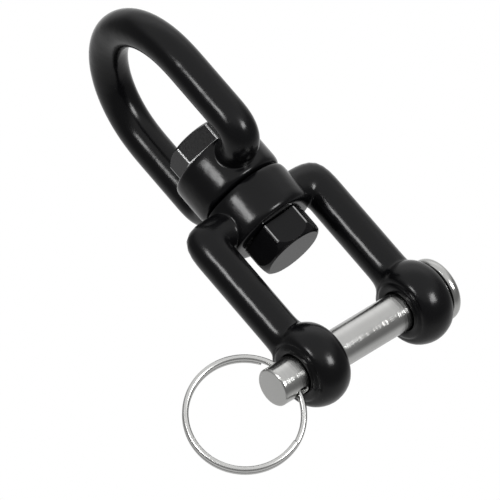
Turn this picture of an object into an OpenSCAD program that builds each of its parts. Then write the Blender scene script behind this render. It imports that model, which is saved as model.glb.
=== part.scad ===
/* [Eye] */
// Diameter of the eye's round bar
eye_bar_d = 7.8; // [6.4:0.1:9]
// Clear width between the two legs
eye_clear_w = 26.2; // [22:0.2:32]
// Clear height from the top of the eye's boss to the inside of the crown
eye_clear_h = 27.8; // [24:0.2:36]
// Radius of the bar's centre line where a leg turns in to the boss
eye_knee_r = 4.8; // [4.6:0.1:6]
// Diameter of the eye's boss
eye_boss_d = 19.2; // [16:0.2:23]
// Height of the eye's boss
eye_boss_h = 9.5; // [9.5:0.1:12]
// Height of the bar's centre line above the bottom of the eye's boss
eye_root_h = 4.9; // [4.6:0.1:5.1]
// Turn of the eye on the swivel axis, from square to the clevis pin
eye_turn = 7.4; // [-30:0.1:30]

/* [Jaw] */
// Diameter of the jaw's round bar
jaw_bar_d = 8; // [6.4:0.1:8.4]
// Clear width between the two arms
jaw_clear_w = 21; // [20:0.2:26]
// Depth from the underside of the jaw's boss to the clevis pin's axis
jaw_depth = 27.8; // [22:0.2:36]
// Diameter of the jaw's boss
jaw_boss_d = 19.2; // [16:0.2:20.2]
// Height of the jaw's boss
jaw_boss_h = 9.2; // [9.2:0.1:12]
// Depth of the cross bar's centre line below the top of the jaw's boss
jaw_root_h = 4.6; // [4.4:0.1:4.7]
// Outside diameter of an ear
ear_d = 16.9; // [15:0.1:20]
// Thickness of an ear
ear_t = 8.6; // [7.8:0.1:10.4]
// Clear width between the two ears
ear_clear_w = 19.6; // [17:0.2:22]

/* [Swivel bolt] */
// Diameter of the bolt's shank
bolt_d = 8; // [6:0.1:9.6]
// Width of the bolt's head across its flats
bolt_head_af = 13; // [12:0.1:16]
// Height of the bolt's head
bolt_head_h = 6; // [4:0.1:8]
// Width of the nut across its flats
nut_af = 13; // [12:0.1:16]
// Height of the nut
nut_h = 4.8; // [4:0.1:8]
// Turn of the bolt's head on the swivel axis
bolt_head_turn = -12; // [-30:1:30]
// Turn of the nut on the swivel axis
nut_turn = 22; // [-30:1:30]

/* [Clevis pin] */
// Diameter of the clevis pin
pin_d = 8; // [6.5:0.1:9.6]
// Diameter of the pin's flat head
pin_head_d = 13.4; // [12:0.1:16]
// Thickness of the pin's flat head
pin_head_t = 2.3; // [1.5:0.1:4]
// Length of the pin's tip outside the jaw's ear
pin_tip_l = 6.3; // [5.8:0.1:9]
// Distance from the pin's tip to the centre of its cross hole
cross_hole_in = 4.3; // [2.6:0.1:4.4]

/* [Split ring] */
// Outside diameter of the split ring
ring_d = 24.4; // [20:0.2:32]
// Diameter of the ring's wire
ring_wire_d = 1.3; // [1:0.05:1.35]
// Distance between the ring's two coils, along the ring's axis
ring_coil_pitch = 1.16; // [0.9:0.02:1.2]
// Swing of the ring about the cross hole, from straight out of the pin's tip
ring_swing = 20; // [-85:1:85]

/* [Fits] */
// Gap between the eye's boss and the jaw's boss
boss_gap = 0.3; // [0.3:0.05:0.5]
// Gap under the bolt's head, and the same under the nut
bolt_end_gap = 0.3; // [0.3:0.05:0.5]
// Running clearance of the bolt in its bores, on the radius
bolt_clearance = 0.08; // [0.02:0.01:0.1]
// Gap between the pin's head and the ear beside it
pin_end_gap = 0.3; // [0.3:0.05:0.6]
// Running clearance of the pin in the ears, on the radius
pin_clearance = 0.08; // [0.02:0.01:0.1]
// Clearance round the ring's two wires inside the pin's cross hole, on the radius
ring_clearance = 0.37; // [0.3:0.01:0.6]

/* [Edges] */
// Chamfer on the rims of both bosses
boss_chamfer = 1.1; // [0.5:0.1:1.5]
// Chamfer at the mouths of the ears' holes
ear_mouth_chamfer = 1; // [0.2:0.1:1.2]
// Radius of the rounding on an ear's rim
ear_round = 3.8; // [2:0.1:3.8]
// Chamfer on the pin's tip and on the rim of its head
pin_chamfer = 0.6; // [0.3:0.1:0.9]

/* [Hidden] */
$fn = 64;
// A very short overlap that lets a cutting tool pass through a face
cut = 1;
// How much the balls at the jaw's elbows stand proud of its bar
elbow_grow = 1.05;
// Slope of the chamfer on the corners of the bolt's head and the nut
hex_chamfer_angle = 30;
// Width of the flat round end face of a hexagon, as a share of its flats
hex_face_share = 0.95;

// The origin is the inside of the crown, where the eye bears on what it hangs from.
eye_half = (eye_clear_w + eye_bar_d) / 2;
crown_z = -eye_clear_w / 2;
eye_boss_top = -eye_clear_h;
eye_boss_bottom = eye_boss_top - eye_boss_h;
eye_root_z = eye_boss_bottom + eye_root_h;

jaw_boss_top = eye_boss_bottom - boss_gap;
jaw_boss_bottom = jaw_boss_top - jaw_boss_h;
jaw_root_z = jaw_boss_top - jaw_root_h;
jaw_half = (jaw_clear_w + jaw_bar_d) / 2;
pin_z = jaw_boss_bottom - jaw_depth;
ear_x = (ear_clear_w + ear_t) / 2;
ear_outer_x = ear_clear_w / 2 + ear_t;

bolt_bore_r = bolt_d / 2 + bolt_clearance;
head_top_z = jaw_boss_bottom - bolt_end_gap;
nut_z = eye_boss_top + bolt_end_gap;

tip_x = -ear_outer_x - pin_tip_l;
head_x = ear_outer_x + pin_end_gap;
cross_hole_x = tip_x + cross_hole_in;
ring_mean_r = (ring_d - ring_wire_d) / 2;
// How far the ring's curve strays from straight inside the cross hole
ring_sag = ring_mean_r - sqrt(pow(ring_mean_r, 2) - pow(pin_d / 2, 2));
cross_hole_r = (norm([ring_sag, ring_coil_pitch]) + ring_wire_d) / 2 + ring_clearance;

// A round disc standing on z = 0, with a chamfer on both rims.
module chamfered_disc(d, h, c) {
    rotate_extrude()
        polygon([[0, 0], [d / 2 - c, 0], [d / 2, c], [d / 2, h - c], [d / 2 - c, h], [0, h]]);
}

// A hexagonal prism standing on z = 0, with its upper corners cut off by a cone.
module hexagon(af, h) {
    corner_r = af / 2 / cos(30);
    face_r = af / 2 * hex_face_share;
    cone_h = (corner_r + cut - face_r) * tan(hex_chamfer_angle);
    intersection() {
        cylinder(r = corner_r, h = h, $fn = 6);
        rotate_extrude()
            polygon([[0, -cut], [corner_r + cut, -cut], [corner_r + cut, h - cone_h],
                     [face_r, h], [0, h]]);
    }
}

// Half of the eye's bar: from the top of the crown down one leg and in to the boss.
module eye_bar_half() {
    translate([0, 0, crown_z])
        rotate([90, 0, 0])
            rotate_extrude(angle = 90)
                translate([eye_half, 0])
                    circle(d = eye_bar_d);
    translate([eye_half, 0, eye_root_z + eye_knee_r])
        cylinder(d = eye_bar_d, h = crown_z - eye_root_z - eye_knee_r);
    translate([eye_half - eye_knee_r, 0, eye_root_z + eye_knee_r])
        rotate([90, 0, 0])
            rotate_extrude(angle = -90)
                translate([eye_knee_r, 0])
                    circle(d = eye_bar_d);
    translate([0, 0, eye_root_z])
        rotate([0, 90, 0])
            cylinder(d = eye_bar_d, h = eye_half - eye_knee_r);
}

module eye() {
    color([0.03, 0.03, 0.035])
        rotate([0, 0, 90 - eye_turn])
            difference() {
                union() {
                    for (turn = [0, 180])
                        rotate([0, 0, turn])
                            eye_bar_half();
                    translate([0, 0, eye_boss_bottom])
                        chamfered_disc(eye_boss_d, eye_boss_h, boss_chamfer);
                }
                translate([0, 0, eye_boss_bottom - cut])
                    cylinder(r = bolt_bore_r, h = eye_boss_h + 2 * cut);
            }
}

// Section of half an ear, from its hole outwards, as turned about the pin's axis.
module ear_section() {
    rim_r = ear_d / 2 - ear_round;
    translate([0, -ear_t / 2])
        square([rim_r, ear_t]);
    translate([0, ear_round - ear_t / 2])
        square([ear_d / 2, ear_t - 2 * ear_round]);
    for (side = [-1, 1])
        translate([rim_r, side * (ear_t / 2 - ear_round)])
            intersection() {
                circle(r = ear_round);
                translate([0, side > 0 ? 0 : -ear_round])
                    square([ear_round, ear_round]);
            }
}

// The hole in one ear, with a chamfer at each mouth.
module ear_hole() {
    hole_r = pin_d / 2 + pin_clearance;
    half = ear_t / 2;
    c = ear_mouth_chamfer;
    rotate_extrude()
        polygon([[0, -half - cut], [hole_r + c + cut, -half - cut], [hole_r, -half + c],
                 [hole_r, half - c], [hole_r + c + cut, half + cut], [0, half + cut]]);
}

module jaw() {
    color([0.03, 0.03, 0.035])
        difference() {
            union() {
                translate([0, 0, jaw_boss_bottom])
                    chamfered_disc(jaw_boss_d, jaw_boss_h, boss_chamfer);
                translate([-jaw_half, 0, jaw_root_z])
                    rotate([0, 90, 0])
                        cylinder(d = jaw_bar_d, h = 2 * jaw_half);
                for (side = [-1, 1]) {
                    translate([side * jaw_half, 0, jaw_root_z])
                        sphere(d = jaw_bar_d * elbow_grow);
                    translate([side * jaw_half, 0, pin_z])
                        cylinder(d = jaw_bar_d, h = jaw_root_z - pin_z);
                    translate([side * ear_x, 0, pin_z])
                        rotate([0, 90, 0])
                            rotate_extrude()
                                ear_section();
                }
            }
            translate([0, 0, jaw_boss_bottom - cut])
                cylinder(r = bolt_bore_r, h = jaw_boss_h + 2 * cut);
            for (side = [-1, 1])
                translate([side * ear_x, 0, pin_z])
                    rotate([0, 90, 0])
                        ear_hole();
        }
}

module swivel_bolt() {
    shank_l = nut_z + nut_h - head_top_z;
    color([0.05, 0.05, 0.055]) {
        translate([0, 0, head_top_z])
            rotate([180, 0, bolt_head_turn])
                hexagon(bolt_head_af, bolt_head_h);
        translate([0, 0, head_top_z])
            cylinder(d = bolt_d, h = shank_l);
    }
}

module hex_nut() {
    color([0.05, 0.05, 0.055])
        translate([0, 0, nut_z])
            rotate([0, 0, nut_turn])
                difference() {
                    hexagon(nut_af, nut_h);
                    translate([0, 0, -cut])
                        cylinder(d = bolt_d, h = nut_h + 2 * cut);
                }
}

module clevis_pin() {
    c = pin_chamfer;
    r = pin_d / 2;
    head_r = pin_head_d / 2;
    color([0.78, 0.78, 0.77])
        difference() {
            translate([tip_x, 0, pin_z])
                rotate([0, 90, 0])
                    rotate_extrude()
                        polygon([[0, 0], [r - c, 0], [r, c], [r, head_x - tip_x],
                                 [head_r - c / 2, head_x - tip_x], [head_r, head_x - tip_x + c / 2],
                                 [head_r, head_x - tip_x + pin_head_t - c],
                                 [head_r - c, head_x - tip_x + pin_head_t],
                                 [0, head_x - tip_x + pin_head_t]]);
            translate([cross_hole_x, 0, pin_z - r - cut])
                cylinder(r = cross_hole_r, h = pin_d + 2 * cut);
        }
}

// Two coils of wire side by side, closed to one ring, passing through the cross hole.
module split_ring() {
    color([0.8, 0.8, 0.79])
        translate([cross_hole_x, 0, pin_z])
            rotate([0, 0, -ring_swing])
                translate([-ring_mean_r + ring_sag / 2, 0, 0])
                    rotate([90, 0, 0])
                        rotate_extrude()
                            for (side = [-1, 1])
                                translate([ring_mean_r, side * ring_coil_pitch / 2])
                                    circle(d = ring_wire_d, $fn = 32);
}

eye();
jaw();
swivel_bolt();
hex_nut();
clevis_pin();
split_ring();
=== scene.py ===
# %% [markdown]
# # A jaw-and-eye swivel
#
# This is a small piece of lifting gear. An eye and a jaw, both of round bar with a drilled boss,
# turn against each other on a short bolt. A clevis pin with a flat head closes the jaw, and a
# split ring through the pin's tip keeps it there.
#
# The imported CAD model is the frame: it says where every piece is and how it moves. The pieces
# below are built inside it, in metres, so nothing has to be fitted afterwards.

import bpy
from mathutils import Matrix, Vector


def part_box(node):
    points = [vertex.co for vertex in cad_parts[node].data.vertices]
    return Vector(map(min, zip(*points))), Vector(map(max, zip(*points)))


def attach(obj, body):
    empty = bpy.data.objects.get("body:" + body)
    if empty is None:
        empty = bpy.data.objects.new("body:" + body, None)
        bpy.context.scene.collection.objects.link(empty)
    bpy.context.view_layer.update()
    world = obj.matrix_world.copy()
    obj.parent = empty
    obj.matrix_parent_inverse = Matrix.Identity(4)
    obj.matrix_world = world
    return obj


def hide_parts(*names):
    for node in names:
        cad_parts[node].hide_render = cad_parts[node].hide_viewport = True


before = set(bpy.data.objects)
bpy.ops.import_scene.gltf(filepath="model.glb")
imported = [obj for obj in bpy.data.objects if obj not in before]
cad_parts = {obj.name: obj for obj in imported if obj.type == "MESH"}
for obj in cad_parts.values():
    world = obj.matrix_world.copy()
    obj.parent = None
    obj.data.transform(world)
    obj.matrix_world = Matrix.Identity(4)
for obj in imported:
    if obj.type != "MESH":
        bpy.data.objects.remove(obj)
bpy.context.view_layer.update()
print("nodes:", sorted(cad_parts))

# %% Bring in the tools
import math

import bmesh
import bpy
from mathutils import Matrix, Vector

mm = 0.001
X_AXIS = Vector((1, 0, 0))
Y_AXIS = Vector((0, 1, 0))
Z_AXIS = Vector((0, 0, 1))

# %% [markdown]
# ## Places and sizes
#
# A maker measures a part from its axes and its seats. The same places are read here from the
# boxes of the CAD nodes: the swivel axis is Z, the origin is the inside of the eye's crown, and the
# clevis pin lies along X. What a box can't say, such as a bar's diameter, is a named size.

# %% Read the places from the frame
eye_low, eye_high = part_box("eye")
jaw_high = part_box("jaw")[1]
bolt_low, bolt_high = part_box("swivel_bolt")
nut_low, nut_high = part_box("hex_nut")
pin_low, pin_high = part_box("clevis_pin")
ring_low, ring_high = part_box("split_ring")

pin_z = (pin_low.z + pin_high.z) / 2
pin_tip_x = pin_low.x
pin_head_x = pin_high.x
print("the pin's axis is", round(pin_z / mm, 2), "mm below the crown")

# %% Name the sizes
eye_bar_r = eye_high.z / 2
eye_half = 17.0 * mm
eye_crown_z = eye_high.z - eye_half - eye_bar_r
eye_crown_rise = 17.3 * mm
eye_knee_r = 4.2 * mm
eye_root_h = 4.9 * mm
eye_boss_h = 9.5 * mm
eye_turn = math.radians(82.6)

jaw_bar_r = 4.0 * mm
jaw_half = 14.6 * mm
jaw_boss_h = 9.2 * mm
jaw_root_h = 4.6 * mm
ear_x = 14.1 * mm
ear_r = 8.45 * mm
neck_rise = 2.6 * mm
elbow_run = 4.9 * mm

boss_r = 9.6 * mm
bore_r = 4.08 * mm
shank_r = 4.0 * mm
end_bevel = 0.6 * mm
hex_flats = 13.0 * mm
hex_bevel = 0.26 * mm
head_h = 6.0 * mm
head_corner = math.radians(-12)
nut_corner = math.radians(22)

pin_r = 4.0 * mm
pin_head_r = (pin_high.z - pin_low.z) / 2
pin_head_t = 2.3 * mm
cross_hole_in = 4.3 * mm
cross_hole_r = 1.7 * mm
print("the eye's bar is", round(2 * eye_bar_r / mm, 2), "mm thick")
print("the jaw's arms are", round(2 * jaw_half / mm, 2), "mm apart, middle to middle")

# %% [markdown]
# ## How the forged pieces are made
#
# The eye and the jaw are each forged in one: a round boss that a bar runs into, with a small
# fillet where they meet. Boolean cuts leave a hard line there. A subdivision cage doesn't: the boss
# is spun from half a section, a patch of its faces is opened, and the bar, a ring of edges that is
# carried along its path, is bridged to the opening. Subdivision then rounds every join.
#
# Subdivision draws a ring of n edges in by a known share, so each ring is made that much larger.
# Every spun shape has 24 steps, and an opening takes four of them, 30 degrees to either side of its
# middle. Four faces by four have sixteen edges round them, the same as a bar's ring.

# %% Helpers for the cages
spun_steps = 24
half_patch = math.radians(30)
bar_edges = 16
weld = 0.001 * mm


def cage_share(edges):
    """How far subdivision draws in a ring of that many edges."""
    return (4 + 2 * math.cos(math.tau / edges)) / 6


def station(centre, across, side):
    """The place of one ring of a bar: its centre, and two arrows from there to its edge."""
    along = across.cross(side).normalized()
    place = Matrix((across, side, along)).transposed().to_4x4()
    place.translation = centre
    return place


def ring_edges(verts):
    """The edges that join these vertices to each other, in the order of the vertices."""
    members = set(verts)
    found = [e for v in verts for e in v.link_edges if members.issuperset(e.verts)]
    return list(dict.fromkeys(found))


def sweep(bm, stations, edges):
    """Carries a ring of edges through the stations. Gives the vertices of every ring in turn."""
    rings = [bmesh.ops.create_circle(bm, segments=edges, radius=1, matrix=stations[0])["verts"]]
    for before, after in zip(stations, stations[1:]):
        made = bmesh.ops.extrude_edge_only(bm, edges=ring_edges(rings[-1]))["geom"]
        rings.append([g for g in made if isinstance(g, bmesh.types.BMVert)])
        bmesh.ops.transform(bm, matrix=after @ before.inverted(), verts=rings[-1])
    return rings


def lathe(bm, outline, centre, axis, outward, steps, closed):
    """Spins half a section, given as (radius, distance along the axis) points, round the axis."""
    verts = [bm.verts.new(centre + outward * r + axis * along) for r, along in outline]
    pairs = list(zip(verts, verts[1:]))
    if closed:
        pairs.append((verts[-1], verts[0]))
    edges = [bm.edges.new(pair) for pair in pairs]
    bmesh.ops.spin(bm, geom=verts + edges, cent=centre, axis=axis, angle=math.tau, steps=steps,
                   use_merge=True)
    bmesh.ops.remove_doubles(bm, verts=bm.verts, dist=weld)


def open_patch(bm, chosen):
    """Takes away the faces whose middle is chosen, and gives the edges round the opening."""
    gone = [f for f in bm.faces if chosen(f.calc_center_median())]
    members = set(gone)
    rim = [e for f in gone for e in f.edges if not members.issuperset(e.link_faces)]
    bmesh.ops.delete(bm, geom=gone, context="FACES")
    return rim


def join(bm, rim, ring):
    """Closes the gap between an opening and a ring with the same number of edges."""
    made = bmesh.ops.bridge_loops(bm, edges=rim + ring_edges(ring))["faces"]
    print("  joined", len(rim), "edges with", len(made), "faces")


# %% Helper that finishes a piece
def finish_piece(bm, name, body, node, levels):
    """Turns a cage into a named object that rides on its body and stands for its CAD node."""
    bmesh.ops.remove_doubles(bm, verts=bm.verts, dist=weld)
    bmesh.ops.recalc_face_normals(bm, faces=bm.faces)
    for face in bm.faces:
        face.smooth = True
    open_edges = sum(1 for e in bm.edges if not e.is_manifold)
    mesh = bpy.data.meshes.new(name)
    bm.to_mesh(mesh)
    bm.free()
    piece = bpy.data.objects.new(name, mesh)
    bpy.context.scene.collection.objects.link(piece)
    if levels:
        smooth = piece.modifiers.new("Smooth", "SUBSURF")
        smooth.levels = levels
        smooth.render_levels = levels
    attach(piece, body)
    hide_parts(node)
    print(name, "has", len(mesh.polygons), "faces and", open_edges, "open edges")
    return piece


# %% [markdown]
# ## Both bosses
#
# The boss of the eye and the boss of the jaw are short drilled drums with rounded rims, nearly the
# same size, so one outline serves both. Its wall has four rows of faces for the bar's opening. The
# bar's first rings lie on the wall itself, the very first a little wider, and that makes the fillet.

# %% Outline of a boss, and the opening for a bar
root_flare = 1.18
root_flare_up = 1.03
root_step = 0.5 * mm
bore_edge = 0.35 * mm
wall_rows = (0, 0.26, 0.5, 0.78, 1)


def boss_outline(bottom, height, low_rim, high_rim):
    """Half a section of a boss from its bore round to its bore, with a rounded rim at each end."""
    top = bottom + height
    bore = bore_r / cage_share(spun_steps)
    wall = boss_r / cage_share(spun_steps)
    rows = [bottom + height * share for share in wall_rows]
    low = [(bore, bottom + bore_edge), (bore, bottom), (bore + bore_edge, bottom)]
    high = [(bore + bore_edge, top), (bore, top), (bore, top - bore_edge)]
    rim = [(wall - low_rim, bottom)] + [(wall, z) for z in rows] + [(wall - high_rim, top)]
    return low + rim + high


def open_boss(bm, side, bottom, height):
    """Opens the patch of the boss's wall that faces +X or -X."""
    def chosen(p):
        on_wall = math.hypot(p.x, p.y) > 0.9 * boss_r and bottom < p.z < bottom + height
        return on_wall and math.atan2(abs(p.y), p.x * side) < half_patch
    return open_patch(bm, chosen)


def seat_on_boss(rings):
    """Moves a bar's first three rings along X: two on to the boss's round wall, one just proud."""
    for ring, proud in zip(rings, (0, 0, root_step)):
        for v in ring:
            v.co.x = math.copysign(math.sqrt(boss_r ** 2 - v.co.y ** 2) + proud, v.co.x)


print("a bar's ring is drawn", round(1 / cage_share(bar_edges), 4), "times its true size")

# %% [markdown]
# ## The eye
#
# The bar leaves the boss level, turns up at a knee, runs up the leg, over the round crown and down
# the other side. It is one sweep of a sixteen-sided ring: the knees and the crown are arcs of
# stations, and the straight legs need only a few.

# %% Stations of the eye's bar
eye_root_z = eye_low.z + eye_root_h
eye_root_lift = 0.5 * mm
eye_boss_rim = 2.2 * mm
knee_steps = 4
crown_steps = 16
knee_z = eye_root_z + eye_knee_r
knee_x = eye_half - eye_knee_r
eye_cage_r = eye_bar_r / cage_share(bar_edges)


def eye_station(x, z, angle):
    """A ring of the eye's bar whose outer side points along this angle in the XZ plane."""
    outer = Vector((math.cos(angle), 0, math.sin(angle)))
    return station(Vector((x, 0, z)), outer * eye_cage_r, Y_AXIS * eye_cage_r)


def arc(x, z, radius, rise, start, end, steps):
    """Stations along an arc of the bar's centre line, from one angle in degrees to another."""
    angles = [math.radians(start + (end - start) * k / steps) for k in range(steps + 1)]
    return [eye_station(x + radius * math.cos(a), z + rise * math.sin(a), a) for a in angles]


def root(side):
    """Three stations where the bar leaves the boss; the first is a little wider, for the fillet."""
    plain = eye_station(boss_r * side, eye_root_z + eye_root_lift, math.radians(-90))
    return [plain @ Matrix.Diagonal((root_flare_up, root_flare, 1, 1)), plain, plain.copy()]


def leg(x, start_z, end_z, angle):
    """Stations along a straight leg, closer together near its ends."""
    heights = [start_z + (end_z - start_z) * share for share in (0.15, 0.5, 0.85)]
    return [eye_station(x, z, math.radians(angle)) for z in heights]


eye_line = root(1)
eye_line += arc(knee_x, knee_z, eye_knee_r, eye_knee_r, -90, 0, knee_steps)
eye_line += leg(eye_half, knee_z, eye_crown_z, 0)
eye_line += arc(0, eye_crown_z, eye_half, eye_crown_rise, 0, 180, crown_steps)
eye_line += leg(-eye_half, eye_crown_z, knee_z, 180)
eye_line += arc(-knee_x, knee_z, eye_knee_r, eye_knee_r, 180, 270, knee_steps)
eye_line += root(-1)[::-1]
print("the eye's bar has", len(eye_line), "stations")

# %% Build the eye
eye_cage = bmesh.new()
eye_boss = boss_outline(eye_low.z, eye_boss_h, eye_boss_rim, eye_boss_rim)
lathe(eye_cage, eye_boss, Vector((0, 0, 0)), Z_AXIS, X_AXIS, spun_steps, closed=True)
right_rim = open_boss(eye_cage, 1, eye_low.z, eye_boss_h)
left_rim = open_boss(eye_cage, -1, eye_low.z, eye_boss_h)
eye_rings = sweep(eye_cage, eye_line, bar_edges)
seat_on_boss(eye_rings)
seat_on_boss(eye_rings[::-1])
join(eye_cage, right_rim, eye_rings[0])
join(eye_cage, left_rim, eye_rings[-1])
bmesh.ops.rotate(eye_cage, verts=eye_cage.verts, cent=(0, 0, 0),
                 matrix=Matrix.Rotation(eye_turn, 3, "Z"))
eye = finish_piece(eye_cage, "forged_eye", "eye", "eye", 2)

# %% [markdown]
# ## The jaw
#
# The jaw's bar leaves its boss level and turns down almost at once. That elbow is a mitre: one
# ring at forty-five degrees. Subdivision rounds the outside of the elbow widely and the inside
# tightly, as forging does.
#
# Each arm ends in an ear, a round doughnut about the pin's axis. It is spun like the boss, and the
# arm is bridged to a patch in its rim. On each side a flat lip stands round the bore, with a shallow
# step between the lip and the bulge.

# %% Stations of one arm of the jaw
jaw_boss_z = jaw_high.z - jaw_boss_h
jaw_root_z = jaw_high.z - jaw_root_h
jaw_cage_r = jaw_bar_r / cage_share(bar_edges)
neck_z = pin_z + ear_r + neck_rise


def arm_line(side):
    """Stations from the boss through the elbow and down one arm to its ear."""
    outer = X_AXIS * side * jaw_cage_r
    up = Z_AXIS * jaw_cage_r
    wide = Y_AXIS * jaw_cage_r
    x = jaw_half * side
    start = Vector((boss_r * side, 0, jaw_root_z))
    elbow = Vector((x, 0, jaw_root_z))
    below_z = jaw_root_z - elbow_run
    heights = [below_z + (neck_z - below_z) * share for share in (0, 0.2, 0.8, 1)]
    heights.append(pin_z + ear_r)
    plain = station(start, up, wide)
    line = [station(start, up, wide * root_flare), plain, plain.copy()]
    line.append(station(elbow, outer + up, wide))
    line += [station(Vector((x, 0, z)), outer, wide) for z in heights]
    return line


print("each arm has", len(arm_line(1)), "stations")


# %% Outline of an ear, and its openings
ear_cage_r = 9.1 * mm
ear_rim_r = 6.9 * mm
ear_reach = 5 * mm
ear_seat_rise = 0.2 * mm
ear_seat_fall = 9 * mm
ear_bore = bore_r / cage_share(spun_steps) + 0.04 * mm
ear_bore_side = [(ear_bore, 2.8 * mm), (ear_bore, 4.2 * mm)]
ear_lip = [(4.5 * mm, 4.5 * mm), (5.8 * mm, 4.5 * mm)]
ear_step = [(6.15 * mm, 3.95 * mm), (6.7 * mm, 4.1 * mm)]
ear_bulge = [(8.0 * mm, 3.3 * mm)]


def ear_outline():
    """Half a section of an ear: the bore, the lip, the step and the bulge, on both sides."""
    one_side = ear_bore_side + ear_lip + ear_step + ear_bulge
    other_side = [(r, -along) for r, along in reversed(one_side)]
    return one_side + [(ear_cage_r, 0)] + other_side


def open_ear(bm, side):
    """Opens the top of an ear, where its arm comes in."""
    def chosen(p):
        away = Vector((p.x - ear_x * side, p.y, p.z - pin_z))
        rim = math.hypot(away.y, away.z) > ear_rim_r and abs(away.x) < ear_reach
        return rim and math.atan2(abs(away.y), away.z) < half_patch
    return open_patch(bm, chosen)


def seat_on_ear(ring, side):
    """Lowers a ring's vertices on to an ear, which falls away to both sides and along the pin."""
    for v in ring:
        off = v.co.x - ear_x * side
        round_height = math.sqrt((ear_r + ear_seat_rise) ** 2 - v.co.y ** 2)
        v.co.z = pin_z + round_height - off ** 2 / ear_seat_fall


print("an ear's half section has", len(ear_outline()), "points")

# %% Build the jaw
jaw_low_rim = 3.0 * mm
jaw_high_rim = 1.3 * mm
jaw_cage = bmesh.new()
jaw_boss = boss_outline(jaw_boss_z, jaw_boss_h, jaw_low_rim, jaw_high_rim)
lathe(jaw_cage, jaw_boss, Vector((0, 0, 0)), Z_AXIS, X_AXIS, spun_steps, closed=True)
for side in (-1, 1):
    ear_centre = Vector((ear_x * side, 0, pin_z))
    lathe(jaw_cage, ear_outline(), ear_centre, X_AXIS, Z_AXIS, spun_steps, closed=True)
for side in (-1, 1):
    boss_rim = open_boss(jaw_cage, side, jaw_boss_z, jaw_boss_h)
    ear_rim = open_ear(jaw_cage, side)
    arm_rings = sweep(jaw_cage, arm_line(side), bar_edges)
    seat_on_boss(arm_rings)
    seat_on_ear(arm_rings[-1], side)
    join(jaw_cage, boss_rim, arm_rings[0])
    join(jaw_cage, ear_rim, arm_rings[-1])
jaw = finish_piece(jaw_cage, "forged_jaw", "jaw", "jaw", 2)

# %% [markdown]
# ## The swivel bolt and its nut
#
# The nut's corners are cut off by a shallow cone, and the bolt's head is rounded to a low dome round
# its flat face. Either leaves the curved lines that are seen across the flats of real ones. The
# surest way is the maker's own: turn the whole piece round first, with its cone or dome, and then
# cut the six flats with planes.

# %% Cut six flats
hex_corner_r = hex_flats / 2 / math.cos(math.radians(30))
hex_face_r = hex_flats / 2 * 0.93
turning_r = hex_corner_r + 1.0 * mm
crown_w = turning_r - hex_face_r
cone_slope = math.tan(math.radians(30))
head_crown = [(0, 0), (0.5 * mm, 0.3 * mm), (0.95 * mm, 0.85 * mm), (1.6 * mm, 2.3 * mm),
              (crown_w, 4.4 * mm)]
nut_crown = [(0, 0), (crown_w, crown_w * cone_slope)]
turned_steps = 96
print("the hexagon is", round(2 * hex_corner_r / mm, 2), "mm across its corners")


def hex_crown(steps, face_z, inward):
    """Half a section of a hexagon's turned end, from its face out to the turning's full radius."""
    return [(hex_face_r + out, face_z + inward * down) for out, down in steps]


def cut_flats(bm, corner):
    """Cuts six flats about Z and closes each cut. One corner of the hexagon lies at this angle."""
    for k in range(6):
        angle = corner + math.radians(30 + 60 * k)
        outward = Vector((math.cos(angle), math.sin(angle), 0))
        geom = bm.verts[:] + bm.edges[:] + bm.faces[:]
        cut = bmesh.ops.bisect_plane(bm, geom=geom, dist=0.0001 * mm, clear_outer=True,
                                     plane_co=outward * hex_flats / 2, plane_no=outward)
        line = [g for g in cut["geom_cut"] if isinstance(g, bmesh.types.BMEdge)]
        bmesh.ops.edgenet_fill(bm, edges=line)


def soften_edges(piece, width):
    """A narrow rounded bevel on the sharp edges, which is what catches the light."""
    bevel = piece.modifiers.new("Edges", "BEVEL")
    bevel.limit_method = "ANGLE"
    bevel.angle_limit = math.radians(24)
    bevel.width = width
    bevel.segments = 3
    bevel.harden_normals = True


# %% Build the bolt and the nut
bolt_end_z = bolt_high.z
head_z = bolt_low.z + head_h
bolt_outline = [(0, bolt_end_z), (shank_r - end_bevel, bolt_end_z)]
bolt_outline += [(shank_r, bolt_end_z - end_bevel), (shank_r, head_z), (turning_r, head_z)]
bolt_outline += hex_crown(head_crown, bolt_low.z, 1)[::-1] + [(0, bolt_low.z)]
bolt_mesh = bmesh.new()
lathe(bolt_mesh, bolt_outline, Vector((0, 0, 0)), Z_AXIS, X_AXIS, turned_steps, closed=False)
cut_flats(bolt_mesh, head_corner)
bolt = finish_piece(bolt_mesh, "hex_head_bolt", "bolt_and_nut", "swivel_bolt", 0)
soften_edges(bolt, hex_bevel)

nut_outline = [(shank_r, nut_low.z), (turning_r, nut_low.z)]
nut_outline += hex_crown(nut_crown, nut_high.z, -1)[::-1]
nut_outline += [(shank_r + end_bevel, nut_high.z), (shank_r, nut_high.z - end_bevel)]
nut_mesh = bmesh.new()
lathe(nut_mesh, nut_outline, Vector((0, 0, 0)), Z_AXIS, X_AXIS, turned_steps, closed=True)
cut_flats(nut_mesh, nut_corner)
nut = finish_piece(nut_mesh, "lock_nut", "bolt_and_nut", "hex_nut", 0)
soften_edges(nut, hex_bevel)

# %% [markdown]
# ## The clevis pin
#
# The pin is turned from stainless bar: a bevelled tip, a plain shank and a flat head. Near its tip
# a cross hole is drilled for the ring. It is spun as a cage, and the hole is made by opening a patch
# on the top and one underneath and bridging a ring through. Creased edges stay crisp when the cage
# is smoothed.

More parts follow.
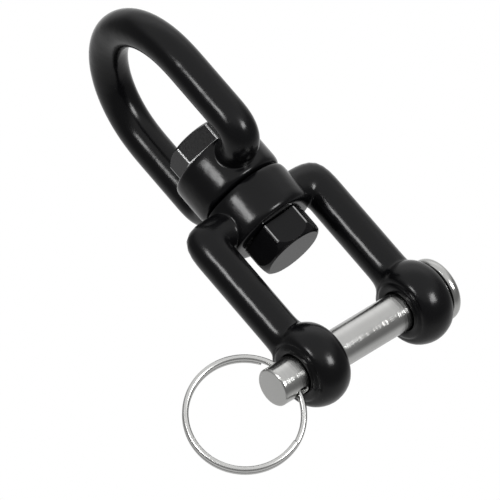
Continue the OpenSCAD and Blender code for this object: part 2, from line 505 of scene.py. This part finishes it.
# %% Outline of the pin
pin_cage_r = pin_r / cage_share(spun_steps)
head_cage_r = pin_head_r / cage_share(spun_steps)
tip_bevel = 0.25 * mm
head_under_bevel = 0.5 * mm
hole_half = 2 * mm
hole_x = pin_tip_x + cross_hole_in
head_seat_x = pin_head_x - pin_head_t
hole_rows = [(pin_cage_r, hole_x + hole_half * share) for share in (-1, -0.5, 0, 0.5, 1)]
tip_part = [(0, pin_tip_x), (1.5 * mm, pin_tip_x), (pin_cage_r - tip_bevel, pin_tip_x),
            (pin_cage_r, pin_tip_x + tip_bevel)]
head_part = [(pin_cage_r, 0), (pin_cage_r, head_seat_x),
             (head_cage_r - head_under_bevel, head_seat_x),
             (head_cage_r, head_seat_x + head_under_bevel), (head_cage_r, pin_head_x - 1.0 * mm),
             (head_cage_r - 0.3 * mm, pin_head_x - 0.3 * mm), (head_cage_r - 1.0 * mm, pin_head_x),
             (3 * mm, pin_head_x), (0, pin_head_x)]
print("the pin is", round((pin_head_x - pin_tip_x) / mm, 2), "mm long over its head")


# %% Helpers for the pin's edges and its hole
crisp = 0.8
rounded = 0.4
hole_crisp = 0.6


def crease_ring(bm, radius, x, amount):
    """Creases the ring of edges that lies at this radius from the pin's axis and at this x."""
    layer = bm.edges.layers.float.get("crease_edge") or bm.edges.layers.float.new("crease_edge")

    def on_ring(v):
        away = math.hypot(v.co.y, v.co.z - pin_z)
        return abs(v.co.x - x) < 0.01 * mm and abs(away - radius) < 0.01 * mm
    for e in bm.edges:
        if all(on_ring(v) for v in e.verts):
            e[layer] = amount


def open_pin(bm, side):
    """Opens the patch over the cross hole, above or below."""
    def chosen(p):
        near_hole = abs(p.x - hole_x) < hole_half
        return near_hole and math.atan2(abs(p.y), (p.z - pin_z) * side) < half_patch
    return open_patch(bm, chosen)


# %% Build the pin
pin_cage = bmesh.new()
pin_outline = tip_part + hole_rows + head_part
lathe(pin_cage, pin_outline, Vector((0, 0, pin_z)), X_AXIS, Z_AXIS, spun_steps, closed=False)
crease_ring(pin_cage, pin_cage_r - tip_bevel, pin_tip_x, crisp)
crease_ring(pin_cage, pin_cage_r, pin_tip_x + tip_bevel, crisp)
crease_ring(pin_cage, pin_cage_r, head_seat_x, crisp)
crease_ring(pin_cage, head_cage_r - head_under_bevel, head_seat_x, rounded)
upper_rim = open_pin(pin_cage, 1)
lower_rim = open_pin(pin_cage, -1)
hole_cage_r = cross_hole_r / cage_share(bar_edges)
hole_line = [station(Vector((hole_x, 0, pin_z + pin_r * side)), X_AXIS * hole_cage_r,
                     Y_AXIS * hole_cage_r) for side in (1, -1)]
upper_hole, lower_hole = sweep(pin_cage, hole_line, bar_edges)
crease = pin_cage.edges.layers.float.get("crease_edge")
for ring, side in ((upper_hole, 1), (lower_hole, -1)):
    for v in ring:
        v.co.z = pin_z + side * math.sqrt(pin_cage_r ** 2 - v.co.y ** 2)
    for e in ring_edges(ring):
        e[crease] = hole_crisp
join(pin_cage, upper_rim, upper_hole)
join(pin_cage, lower_rim, lower_hole)
pin = finish_piece(pin_cage, "clevis_pin_with_head", "clevis_pin", "clevis_pin", 3)

# %% [markdown]
# ## The split ring
#
# A split ring is one length of springy wire wound about one and three quarter turns. One layer of
# the coil lies behind, crosses to the front where it passes through the pin, and goes on in front.
# The wire is swept along that helix, and each end is closed with a small flat face.

# %% Line of the ring's wire
hole_centre = Vector((hole_x, 0, pin_z))
ring_swing = math.radians(20)
ring_out = Vector((-math.cos(ring_swing), math.sin(ring_swing), 0))
ring_axis = Vector((-math.sin(ring_swing), -math.cos(ring_swing), 0))
ring_outer_r = (ring_high.z - ring_low.z) / 2
wire_r = 0.63 * mm
ring_r = ring_outer_r - wire_r
ring_reach = 11.3
ring_sag = 0.48
ring_centre = hole_centre + ring_out * ring_reach * mm - Z_AXIS * ring_sag * mm
layer_step = 0.62 * mm
back_start = 145.9
back_end = -111.1
front_start = -214.1
front_end = -471.1
wire_edges = 10
wire_crisp = 0.7


def wire_station(angle):
    """A ring of the wire at this angle in degrees: back layer, crossing or front layer."""
    t = min(max((back_end - angle) / (back_end - front_start), 0), 1)
    rise = (t * t * (3 - 2 * t) * 2 - 1) * layer_step
    a = math.radians(angle)
    spoke = ring_out * math.cos(a) + Z_AXIS * math.sin(a)
    thick = wire_r / cage_share(wire_edges)
    return station(ring_centre + spoke * ring_r + ring_axis * rise, spoke * thick, ring_axis * thick)


print("the ring's middle is", ring_reach, "mm out from the cross hole and", ring_sag, "mm below it")

# %% Build the split ring
turn_steps = 78
wire_angles = [back_start + (front_end - back_start) * k / turn_steps
               for k in range(turn_steps + 1)]
wire_line = [wire_station(angle) for angle in wire_angles]
ring_cage = bmesh.new()
wire_rings = sweep(ring_cage, wire_line, wire_edges)
crease = ring_cage.edges.layers.float.new("crease_edge")
for end in (wire_rings[0], wire_rings[-1]):
    edges = ring_edges(end)
    for e in edges:
        e[crease] = wire_crisp
    bmesh.ops.edgeloop_fill(ring_cage, edges=edges)
ring = finish_piece(ring_cage, "split_ring_wire", "split_ring", "split_ring", 2)
print("the wire is", round(ring_r * math.radians(back_start - front_end) / mm), "mm long")

# %% [markdown]
# ## Helpers for the finishes
#
# A finish could be painted on an image and wrapped round the piece, but then every piece needs its
# own layout. Nodes that are read from the piece's own coordinates need none, follow the piece when
# it turns, and stay sharp from near by. These helpers place nodes and make groups of them.

# %% Helpers for materials
def node(tree, kind, x, y, **settings):
    """Adds a node at a place on the sheet and sets its properties."""
    made = tree.nodes.new(kind)
    made.location = (x, y)
    for key, value in settings.items():
        setattr(made, key, value)
    return made


def new_group(name, inputs, outputs):
    """A shader node group with these named sockets. Gives the tree and its two end nodes."""
    tree = bpy.data.node_groups.new(name, "ShaderNodeTree")
    for label, kind, value in inputs:
        socket = tree.interface.new_socket(label, in_out="INPUT", socket_type=kind)
        socket.default_value = value
    for label, kind in outputs:
        tree.interface.new_socket(label, in_out="OUTPUT", socket_type=kind)
    return tree, node(tree, "NodeGroupInput", -900, 0), node(tree, "NodeGroupOutput", 500, 0)


def noise(tree, x, y, detail):
    """Noise on the piece's own coordinates."""
    place = node(tree, "ShaderNodeTexCoord", x - 400, y)
    made = node(tree, "ShaderNodeTexNoise", x, y)
    made.inputs["Detail"].default_value = detail
    tree.links.new(place.outputs["Object"], made.inputs["Vector"])
    return made


# %% [markdown]
# ## The surface that all the finishes share
#
# Neither a coated forging nor turned steel is quite smooth. A forging has slow waves that were
# there before it was coated; both have a fine grain; and handling leaves patches that are a little
# duller. One group gives all three: a height for the bump, a roughness, and a mask that the
# materials use to shift their colour.

# %% Group: the surface of a coating or a metal
SURFACE, group_in, group_out = new_group(
    "Surface grain",
    [("Wave size", "NodeSocketFloat", 300.0), ("Grain size", "NodeSocketFloat", 2200.0),
     ("Grain share", "NodeSocketFloat", 0.3), ("Roughness", "NodeSocketFloat", 0.2),
     ("Roughness change", "NodeSocketFloat", 0.05)],
    [("Height", "NodeSocketFloat"), ("Roughness", "NodeSocketFloat"), ("Mask", "NodeSocketFloat")])
wave = noise(SURFACE, -450, 200, 2)
grain = noise(SURFACE, -450, -100, 3)
patches = noise(SURFACE, -450, -400, 4)
patches.inputs["Scale"].default_value = 120
SURFACE.links.new(group_in.outputs["Wave size"], wave.inputs["Scale"])
SURFACE.links.new(group_in.outputs["Grain size"], grain.inputs["Scale"])
blend = node(SURFACE, "ShaderNodeMix", 0, 150, data_type="FLOAT")
SURFACE.links.new(group_in.outputs["Grain share"], blend.inputs["Factor"])
SURFACE.links.new(wave.outputs["Fac"], blend.inputs["A"])
SURFACE.links.new(grain.outputs["Fac"], blend.inputs["B"])
SURFACE.links.new(blend.outputs["Result"], group_out.inputs["Height"])
swing = node(SURFACE, "ShaderNodeMath", 0, -150, operation="SUBTRACT")
SURFACE.links.new(patches.outputs["Fac"], swing.inputs[0])
swing.inputs[1].default_value = 0.5
rough = node(SURFACE, "ShaderNodeMath", 250, -150, operation="MULTIPLY_ADD")
SURFACE.links.new(swing.outputs[0], rough.inputs[0])
SURFACE.links.new(group_in.outputs["Roughness change"], rough.inputs[1])
SURFACE.links.new(group_in.outputs["Roughness"], rough.inputs[2])
SURFACE.links.new(rough.outputs[0], group_out.inputs["Roughness"])
SURFACE.links.new(patches.outputs["Fac"], group_out.inputs["Mask"])
print("the surface group has", len(SURFACE.nodes), "nodes")

# %% [markdown]
# ## The four finishes
#
# The eye and the jaw have a glossy black coating. It reflects less than ordinary paint does, so its
# specular level is low: only lamps show in it, and the rest stays nearly black. The bolt and the
# nut are blackened too, a little duller. The pin is bright turned stainless steel, and the split
# ring is drawn stainless wire. All four use the same group with other values.

# %% Helper that makes a material from the group
def surface_material(name, dark, light, metal, specular, values, bump, distance):
    """A Principled material whose colour, roughness and bump come from the surface group."""
    material = bpy.data.materials.new(name)
    material.use_nodes = True
    tree = material.node_tree
    shader = tree.nodes["Principled BSDF"]
    group = node(tree, "ShaderNodeGroup", -700, 0)
    group.node_tree = SURFACE
    for label, value in values.items():
        group.inputs[label].default_value = value
    ramp = node(tree, "ShaderNodeMix", -350, 200, data_type="RGBA")
    ramp.inputs["A"].default_value = (*dark, 1)
    ramp.inputs["B"].default_value = (*light, 1)
    tree.links.new(group.outputs["Mask"], ramp.inputs["Factor"])
    tree.links.new(ramp.outputs["Result"], shader.inputs["Base Color"])
    tree.links.new(group.outputs["Roughness"], shader.inputs["Roughness"])
    bumps = node(tree, "ShaderNodeBump", -350, -250)
    bumps.inputs["Strength"].default_value = bump
    bumps.inputs["Distance"].default_value = distance
    tree.links.new(group.outputs["Height"], bumps.inputs["Height"])
    tree.links.new(bumps.outputs["Normal"], shader.inputs["Normal"])
    shader.inputs["Metallic"].default_value = metal
    shader.inputs["Specular IOR Level"].default_value = specular
    return material


# %% Make the materials
black = (0.002, 0.002, 0.0023)
worn_black = (0.0035, 0.0035, 0.004)
steel = (0.42, 0.42, 0.41)
bright_steel = (0.5, 0.5, 0.49)
brightest_steel = (0.6, 0.6, 0.59)
coating = surface_material(
    "Black coating", black, worn_black, metal=0, specular=0.2,
    values={"Wave size": 300, "Grain share": 0.06, "Roughness": 0.21}, bump=0.4, distance=0.2 * mm)
fastener = surface_material(
    "Black fastener", black, worn_black, metal=0, specular=0.19,
    values={"Wave size": 500, "Grain share": 0.5, "Roughness": 0.26}, bump=0.15, distance=0.1 * mm)
turned = surface_material(
    "Turned stainless", steel, bright_steel, metal=1, specular=0.5,
    values={"Wave size": 500, "Grain share": 0.6, "Roughness": 0.2}, bump=0.08, distance=0.05 * mm)
spring = surface_material(
    "Spring stainless", bright_steel, brightest_steel, metal=1, specular=0.5,
    values={"Wave size": 700, "Grain share": 0.5, "Roughness": 0.27}, bump=0.03, distance=0.05 * mm)
print("materials:", [material.name for material in (coating, fastener, turned, spring)])

# %% [markdown]
# ## Painted corner highlights and turning marks
#
# The corners of each hexagon and the nut's lower edge are painted as bare bright steel: a painted
# highlight, standing in for the thin bright lines that the lamps make on those edges. The group finds
# the corners from the distance to the bolt's axis, and the nut's lower edge from its height. The pin
# carries the lathe's marks, fine rings round it: one-dimensional noise along the pin's axis. They
# spread each reflection into a bright band along the pin.

# %% Group: painted highlights on a hexagon's corners
# Painted highlight: a mask of the hexagons' corners and the nut's lower edge, where thin bright lines
# are painted in
CORNER_HIGHLIGHTS, highlight_in, highlight_out = new_group(
    "Painted corner highlights",
    [("Corner radius", "NodeSocketFloat", hex_corner_r),
     ("Edge height", "NodeSocketFloat", nut_low.z),
     ("Flat radius", "NodeSocketFloat", hex_flats / 2 - 0.1 * mm)],
    [("Mask", "NodeSocketFloat")])
highlight_place = node(CORNER_HIGHLIGHTS, "ShaderNodeTexCoord", -1300, 0)
across = node(CORNER_HIGHLIGHTS, "ShaderNodeVectorMath", -1100, 200, operation="MULTIPLY")
across.inputs[1].default_value = (1, 1, 0)
CORNER_HIGHLIGHTS.links.new(highlight_place.outputs["Object"], across.inputs[0])
highlight_radius = node(CORNER_HIGHLIGHTS, "ShaderNodeVectorMath", -900, 200, operation="LENGTH")
CORNER_HIGHLIGHTS.links.new(across.outputs["Vector"], highlight_radius.inputs[0])
highlight_parts = node(CORNER_HIGHLIGHTS, "ShaderNodeSeparateXYZ", -1100, -200)
CORNER_HIGHLIGHTS.links.new(highlight_place.outputs["Object"], highlight_parts.inputs[0])


def near_edge(value, edge_input, full, gone, y):
    """1 where a value is within `full` of a group input, fading to 0 at `gone`."""
    gap = node(CORNER_HIGHLIGHTS, "ShaderNodeMath", -650, y, operation="SUBTRACT")
    CORNER_HIGHLIGHTS.links.new(value, gap.inputs[0])
    CORNER_HIGHLIGHTS.links.new(highlight_in.outputs[edge_input], gap.inputs[1])
    size = node(CORNER_HIGHLIGHTS, "ShaderNodeMath", -450, y, operation="ABSOLUTE")
    CORNER_HIGHLIGHTS.links.new(gap.outputs[0], size.inputs[0])
    fade = node(CORNER_HIGHLIGHTS, "ShaderNodeMapRange", -250, y)
    fade.inputs["From Min"].default_value = gone
    fade.inputs["From Max"].default_value = full
    CORNER_HIGHLIGHTS.links.new(size.outputs[0], fade.inputs["Value"])
    return fade.outputs["Result"]


corner_highlight_mask = near_edge(highlight_radius.outputs["Value"], "Corner radius", full=0.09 * mm,
                        gone=0.15 * mm, y=200)
edge_highlight_mask = near_edge(highlight_parts.outputs["Z"], "Edge height", full=0.25 * mm, gone=0.4 * mm, y=-200)
outside = node(CORNER_HIGHLIGHTS, "ShaderNodeMath", -250, -450, operation="GREATER_THAN")
CORNER_HIGHLIGHTS.links.new(highlight_radius.outputs["Value"], outside.inputs[0])
CORNER_HIGHLIGHTS.links.new(highlight_in.outputs["Flat radius"], outside.inputs[1])
edge_only = node(CORNER_HIGHLIGHTS, "ShaderNodeMath", 0, -200, operation="MULTIPLY")
CORNER_HIGHLIGHTS.links.new(edge_highlight_mask, edge_only.inputs[0])
CORNER_HIGHLIGHTS.links.new(outside.outputs[0], edge_only.inputs[1])
either = node(CORNER_HIGHLIGHTS, "ShaderNodeMath", 250, 0, operation="MAXIMUM")
CORNER_HIGHLIGHTS.links.new(corner_highlight_mask, either.inputs[0])
CORNER_HIGHLIGHTS.links.new(edge_only.outputs[0], either.inputs[1])
CORNER_HIGHLIGHTS.links.new(either.outputs[0], highlight_out.inputs["Mask"])
print("the painted corner highlights group has", len(CORNER_HIGHLIGHTS.nodes), "nodes")

# %% Paint highlights on the fasteners' corners
# Painted highlight: bright metallic steel colour on the masked corners and edge, in place of light
# catching them
highlight_steel = (0.35, 0.35, 0.35, 1)
fastener_tree = fastener.node_tree
fastener_shader = fastener_tree.nodes["Principled BSDF"]
highlight_node = node(fastener_tree, "ShaderNodeGroup", -700, 500)
highlight_node.node_tree = CORNER_HIGHLIGHTS
highlight_mix = node(fastener_tree, "ShaderNodeMix", -150, 400, data_type="RGBA")
highlight_mix.inputs["B"].default_value = highlight_steel
fastener_tree.links.new(highlight_node.outputs["Mask"], highlight_mix.inputs["Factor"])
fastener_tree.links.new(fastener_shader.inputs["Base Color"].links[0].from_socket, highlight_mix.inputs["A"])
fastener_tree.links.new(highlight_mix.outputs["Result"], fastener_shader.inputs["Base Color"])
fastener_tree.links.new(highlight_node.outputs["Mask"], fastener_shader.inputs["Metallic"])
print(fastener.name, "has", len(fastener_tree.nodes), "nodes")

# %% Group: turning marks along X
mark_depth = 0.024 * mm
MARKS, marks_in, marks_out = new_group(
    "Turning marks", [("Fineness", "NodeSocketFloat", 5000.0)], [("Height", "NodeSocketFloat")])
marks_place = node(MARKS, "ShaderNodeTexCoord", -1100, 0)
marks_parts = node(MARKS, "ShaderNodeSeparateXYZ", -900, 0)
MARKS.links.new(marks_place.outputs["Object"], marks_parts.inputs[0])
lathe_marks = node(MARKS, "ShaderNodeTexNoise", -500, 0, noise_dimensions="1D")
MARKS.links.new(marks_parts.outputs["X"], lathe_marks.inputs["W"])
MARKS.links.new(marks_in.outputs["Fineness"], lathe_marks.inputs["Scale"])
MARKS.links.new(lathe_marks.outputs["Fac"], marks_out.inputs["Height"])
print("the turning marks group has", len(MARKS.nodes), "nodes")

# %% Mark the pin
turned_tree = turned.node_tree
turned_shader = turned_tree.nodes["Principled BSDF"]
marks = node(turned_tree, "ShaderNodeGroup", -350, -500)
marks.node_tree = MARKS
marks_bump = node(turned_tree, "ShaderNodeBump", -150, -400)
marks_bump.inputs["Distance"].default_value = mark_depth
turned_tree.links.new(marks.outputs["Height"], marks_bump.inputs["Height"])
turned_tree.links.new(turned_shader.inputs["Normal"].links[0].from_socket, marks_bump.inputs["Normal"])
turned_tree.links.new(marks_bump.outputs["Normal"], turned_shader.inputs["Normal"])
print(turned.name, "has", len(turned_tree.nodes), "nodes")

# %% Put the finishes on
for piece, material in ((eye, coating), (jaw, coating), (bolt, fastener), (nut, fastener),
                        (pin, turned), (ring, spring)):
    piece.data.materials.clear()
    piece.data.materials.append(material)
    print(piece.name, "is finished in", material.name)

# %% [markdown]
# ## Floor
#
# The swivel hangs as if on plain white paper, far from any floor, so the floor is a pale disc well
# below it. A floor that is seen from underneath would hide the swivel from a low camera, so its
# material is clear from the back: the Backfacing output picks a transparent shader there.

# %% Floor
floor_z = -0.8
floor_r = 8
floor_mesh = bmesh.new()
bmesh.ops.create_circle(floor_mesh, cap_ends=True, segments=64, radius=floor_r)
bmesh.ops.translate(floor_mesh, verts=floor_mesh.verts, vec=(0, 0, floor_z))
floor_data = bpy.data.meshes.new("floor")
floor_mesh.to_mesh(floor_data)
floor_mesh.free()
floor = bpy.data.objects.new("floor", floor_data)
bpy.context.scene.collection.objects.link(floor)
floor_paint = bpy.data.materials.new("Pale floor")
floor_paint.use_nodes = True
floor_tree = floor_paint.node_tree
floor_shader = floor_tree.nodes["Principled BSDF"]
floor_shader.inputs["Base Color"].default_value = (0.9, 0.9, 0.9, 1)
floor_shader.inputs["Roughness"].default_value = 0.9
floor_shader.inputs["Emission Color"].default_value = (1, 1, 1, 1)
floor_shader.inputs["Emission Strength"].default_value = 0.3
floor.visible_glossy = False
floor.visible_diffuse = False
clear = node(floor_tree, "ShaderNodeBsdfTransparent", 0, 300)
from_below = node(floor_tree, "ShaderNodeNewGeometry", -300, 400)
choose = node(floor_tree, "ShaderNodeMixShader", 300, 200)
floor_tree.links.new(from_below.outputs["Backfacing"], choose.inputs[0])
floor_tree.links.new(floor_shader.outputs[0], choose.inputs[1])
floor_tree.links.new(clear.outputs[0], choose.inputs[2])
floor_tree.links.new(choose.outputs[0], floor_tree.nodes["Material Output"].inputs["Surface"])
floor_data.materials.append(floor_paint)
print("the floor is", round(-floor_z, 2), "m below the crown")

# %% [markdown]
# ## Camera
#
# A long lens looks at the swivel from two metres away and slightly below. The camera is rolled about
# its own axis, so that the swivel lies slanting across the view. Blender's camera looks along its
# own -Z. So `back` is its Z axis, and `right` and `up` are the directions of the view, which the
# lamps below use as well.

# %% Camera
camera_distance = 1.993
lens_length = 731
aim_right = 1.23 * mm
aim_down = 10.85 * mm
azimuth = math.radians(-34.595)
elevation = math.radians(-14.823)
roll = math.radians(-40.696)
back = Vector((math.sin(azimuth) * math.cos(elevation), -math.cos(azimuth) * math.cos(elevation),
               math.sin(elevation)))
look = back.to_track_quat("Z", "Y").to_matrix().to_4x4() @ Matrix.Rotation(roll, 4, "Z")
right, up = look.col[0].to_3d(), look.col[1].to_3d()
target = Vector((0, 0, jaw_high.z)) + right * aim_right - up * aim_down
camera_data = bpy.data.cameras.new("camera")
camera_data.lens = lens_length
camera_data.sensor_width = 36
camera_data.clip_end = 20
camera = bpy.data.objects.new("camera", camera_data)
bpy.context.scene.collection.objects.link(camera)
look.translation = target + back * camera_distance
camera.matrix_world = look
bpy.context.scene.camera = camera
print("right", [round(c, 4) for c in right], "up", [round(c, 4) for c in up])

# %% [markdown]
# ## The white room
#
# Glossy black shows nothing but its surroundings. An all-white world turns it grey, and a black
# world loses its shape. In a studio it stands on white paper with a white panel overhead, and the
# rest of the room is dim. So the sky has a dim base with soft glows on it, and the camera alone
# sees pure white: the Light Path node tells its rays from the reflected ones.

# %% World
def glow(tree, axis, start, full, strength, y):
    """A soft bright region of the sky round an axis: it starts and is full at these cosines."""
    place = node(tree, "ShaderNodeTexCoord", -1100, y)
    near = node(tree, "ShaderNodeVectorMath", -850, y, operation="DOT_PRODUCT")
    near.inputs[1].default_value = axis.normalized()
    tree.links.new(place.outputs["Generated"], near.inputs[0])
    fade = node(tree, "ShaderNodeMapRange", -600, y, interpolation_type="SMOOTHSTEP")
    fade.inputs["From Min"].default_value = start
    fade.inputs["From Max"].default_value = full
    fade.inputs["To Max"].default_value = strength
    tree.links.new(near.outputs["Value"], fade.inputs["Value"])
    return fade.outputs["Result"]


room_level = 0.25
overhead = (up * 0.8 + back * 0.6, 0.3, 0.75, 0.75)
below_behind = (up * -0.75 - back * 0.66, 0.2, 0.7, 0.5)
above_behind = (up * 0.7 - back * 0.7, 0.5, 0.95, 0.6)
glows = [overhead, below_behind, above_behind]
world = bpy.data.worlds.new("Studio")
bpy.context.scene.world = world
world.use_nodes = True
sky_tree = world.node_tree
room = sky_tree.nodes["Background"]
room.inputs["Color"].default_value = (1, 1, 1, 1)
level = node(sky_tree, "ShaderNodeValue", -600, 400).outputs[0]
level.default_value = room_level
for row, (axis, start, full, strength) in enumerate(glows):
    total = node(sky_tree, "ShaderNodeMath", -350 + 150 * row, 200, operation="ADD")
    sky_tree.links.new(level, total.inputs[0])
    sky_tree.links.new(glow(sky_tree, axis, start, full, strength, 100 - 300 * row), total.inputs[1])
    level = total.outputs[0]
sky_tree.links.new(level, room.inputs["Strength"])
paper = node(sky_tree, "ShaderNodeBackground", 300, -200)
paper.inputs["Color"].default_value = (1, 1, 1, 1)
seen = node(sky_tree, "ShaderNodeLightPath", 300, 400)
show = node(sky_tree, "ShaderNodeMixShader", 550, 0)
sky_tree.links.new(seen.outputs["Is Camera Ray"], show.inputs[0])
sky_tree.links.new(room.outputs[0], show.inputs[1])
sky_tree.links.new(paper.outputs[0], show.inputs[2])
sky_tree.links.new(show.outputs[0], sky_tree.nodes["World Output"].inputs["Surface"])
bpy.context.scene.view_settings.view_transform = "Standard"
print("the room has", len(glows), "glows on a level of", room_level)

# %% [markdown]
# ## Two softboxes
#
# Each bright stripe on the bars is one softbox's reflection. A small one near by on the left draws
# the thin stripes along the arms; it is narrowed to a beam, so the eye gets less of it. A large one
# on the right makes the broad shine on the bosses and the spots on the ears.

# %% Lights
def softbox(name, direction, distance, size, spread, power):
    """A soft square lamp that faces the middle of the jaw."""
    data = bpy.data.lights.new(name, "AREA")
    data.size = size
    data.spread = math.radians(spread)
    data.energy = power
    lamp = bpy.data.objects.new(name, data)
    bpy.context.scene.collection.objects.link(lamp)
    toward = Vector(direction).normalized()
    lamp.rotation_mode = "QUATERNION"
    lamp.rotation_quaternion = toward.to_track_quat("Z", "Y")
    lamp.location = Vector((0, 0, (jaw_root_z + pin_z) / 2)) + toward * distance
    lamp.visible_camera = False
    print(name, "is", size, "m wide and", distance, "m away")


softbox("left softbox", right * -0.59 + up * 0.11 + back * 0.8,
        distance=0.45, size=0.105, spread=50, power=0.066)
softbox("right softbox", right * 0.68 + up * 0.12 + back * 0.72,
        distance=1.2, size=0.4, spread=180, power=11.5)
